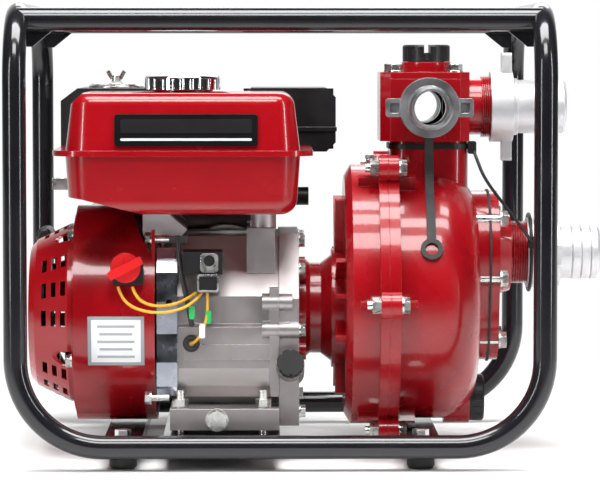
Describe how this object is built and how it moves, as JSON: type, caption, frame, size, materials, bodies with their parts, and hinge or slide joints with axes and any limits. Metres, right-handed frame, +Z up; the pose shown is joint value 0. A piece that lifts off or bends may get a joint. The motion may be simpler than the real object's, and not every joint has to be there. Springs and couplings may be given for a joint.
{
  "type": "portable fire pump",
  "caption": "Petrol engine and self-priming water pump carried in a tube frame, with union hose tails on the suction port and the three delivery outlets.",
  "frame": {"origin": "centre of the footprint, on the ground under the feet", "axes": "+X along the crankshaft to the suction port, -Y the operator's side with the switch, +Z up"},
  "size_m": [0.5485, 0.3912, 0.4205],
  "materials": {
    "frame_black": "gloss",
    "plate_black": "satin",
    "rubber": "matte",
    "red_paint": "gloss",
    "black_paint": "satin",
    "cast_aluminium": "satin",
    "bright_aluminium": "matte",
    "zinc": "satin",
    "chrome": "gloss",
    "black_plastic": "satin",
    "red_plastic": "gloss",
    "wire": "satin",
    "cast_iron": "matte",
    "steel": "satin"
  },
  "bodies": {
    "pump_set": {"frame_front_hoop": "frame_black", "frame_rear_hoop": "frame_black", "frame_top_bars": "frame_black", "cross_plates": "plate_black", "engine_mount_plate": "plate_black", "rubber_feet": "rubber", "base_bolts": "zinc", "crankcase": "cast_aluminium", "side_cover": "cast_aluminium", "cylinder_head": "cast_aluminium", "rocker_cover": "black_paint", "spark_plug": "black_plastic", "piston": "bright_aluminium", "oil_drain_plug": "zinc", "engine_bolts": "zinc", "blower_housing": "red_paint", "recoil_cover": "red_paint", "side_plate": "zinc", "tank_posts": "bright_aluminium", "fuel_tank": "red_paint", "muffler": "black_paint", "air_cleaner_case": "black_plastic", "air_cleaner_lid": "zinc", "carburettor": "bright_aluminium", "control_bracket": "black_paint", "switch_base": "black_plastic", "oil_alert_unit": "black_plastic", "engine_wires": "wire", "pump_adapter": "red_paint", "pump_back_cover": "red_paint", "rubber_strap": "rubber", "pump_casing": "red_paint", "pump_seals": "rubber", "suction_cover": "red_paint", "discharge_box": "red_paint", "box_cover": "red_paint", "pump_bolts": "zinc", "suction_tail": "bright_aluminium", "end_tail": "bright_aluminium", "side_tails": "bright_aluminium", "lanyard_cord": "black_plastic"},
    "crank": {"crankshaft": "steel", "flywheel": "cast_iron", "impeller": "cast_iron"},
    "pulley": {"recoil_pulley": "black_plastic"},
    "grip": {"starter_grip": "black_plastic"},
    "tank_cap": {"fuel_cap": "chrome"},
    "dipstick": {"oil_dipstick": "black_plastic"},
    "throttle": {"throttle_lever": "zinc"},
    "choke": {"choke_lever": "black_plastic"},
    "fuel_valve": {"fuel_valve_lever": "black_plastic"},
    "switch": {"switch_knob": "red_plastic"},
    "flap": {"check_flap": "rubber"},
    "drain": {"drain_cap": "black_plastic"},
    "prime": {"priming_cap": "black_plastic"},
    "suction_union": {"suction_nut": "bright_aluminium"},
    "end_union": {"end_nut": "bright_aluminium"},
    "front_union": {"front_nut": "bright_aluminium"},
    "rear_union": {"rear_nut": "bright_aluminium"},
    "wing_nut": {"lid_wing_nut": "zinc"}
  },
  "joints": [
    {"name": "crank_spin", "type": "hinge", "parent": "pump_set", "child": "crank", "pos_m": [0, -0.03, 0.135], "axis": [1, 0, 0], "continuous": true},
    {"name": "grip_pull", "type": "slide", "parent": "pump_set", "child": "grip", "axis": [-0.501, 0.3006, 0.8116], "range_m": [0, 0.8], "stiffness_N_per_m": 12, "springref_m": -0.4},
    {"name": "pulley_spin", "type": "hinge", "parent": "pump_set", "child": "pulley", "pos_m": [-0.248, -0.03, 0.135], "axis": [1, 0, 0], "range_deg": [0, 1200]},
    {"name": "tank_cap_lift", "type": "slide", "parent": "pump_set", "child": "tank_cap", "axis": [0, 0, 1], "range_m": [0, 0.03]},
    {"name": "dipstick_pull", "type": "slide", "parent": "pump_set", "child": "dipstick", "axis": [0, -0.9404, 0.3401], "range_m": [0, 0.05]},
    {"name": "throttle_turn", "type": "hinge", "parent": "pump_set", "child": "throttle", "pos_m": [-0.16, 0.035, 0.248], "axis": [0, 0, 1], "range_deg": [-20, 10]},
    {"name": "choke_turn", "type": "hinge", "parent": "pump_set", "child": "choke", "pos_m": [-0.158, 0.11, 0.226], "axis": [1, 0, 0], "range_deg": [0, 40]},
    {"name": "fuel_valve_turn", "type": "hinge", "parent": "pump_set", "child": "fuel_valve", "pos_m": [-0.16, 0.124, 0.206], "axis": [1, 0, 0], "range_deg": [0, 85]},
    {"name": "switch_turn", "type": "hinge", "parent": "pump_set", "child": "switch", "pos_m": [-0.167, -0.136, 0.18], "axis": [0, -1, 0], "range_deg": [0, 60]},
    {"name": "flap_swing", "type": "hinge", "parent": "pump_set", "child": "flap", "pos_m": [0.15, -0.03, 0.2105], "axis": [0, 1, 0], "range_deg": [0, 35]},
    {"name": "drain_cap_pull", "type": "slide", "parent": "pump_set", "child": "drain", "axis": [1, 0, 0], "range_m": [0, 0.03]},
    {"name": "priming_cap_lift", "type": "slide", "parent": "pump_set", "child": "prime", "axis": [0, 0, 1], "range_m": [0, 0.03]},
    {"name": "suction_union_turn", "type": "hinge", "parent": "pump_set", "child": "suction_union", "pos_m": [0.22, -0.03, 0.1874], "axis": [1, 0, 0], "range_deg": [0, 360]},
    {"name": "end_union_turn", "type": "hinge", "parent": "pump_set", "child": "end_union", "pos_m": [0.18, -0.03, 0.3245], "axis": [1, 0, 0], "range_deg": [0, 360]},
    {"name": "front_union_turn", "type": "hinge", "parent": "pump_set", "child": "front_union", "pos_m": [0.1115, -0.09, 0.3245], "axis": [0, 1, 0], "range_deg": [0, 360]},
    {"name": "rear_union_turn", "type": "hinge", "parent": "pump_set", "child": "rear_union", "pos_m": [0.1115, 0.03, 0.3245], "axis": [0, 1, 0], "range_deg": [0, 360]},
    {"name": "wing_nut_turn", "type": "hinge", "parent": "pump_set", "child": "wing_nut", "pos_m": [-0.186, 0.107, 0.352], "axis": [0, 0, 1], "range_deg": [0, 720]}
  ],
  "couplings": [
    {"joint": "pulley_spin", "follows": "grip_pull", "rad_per_m": 25}
  ]
}
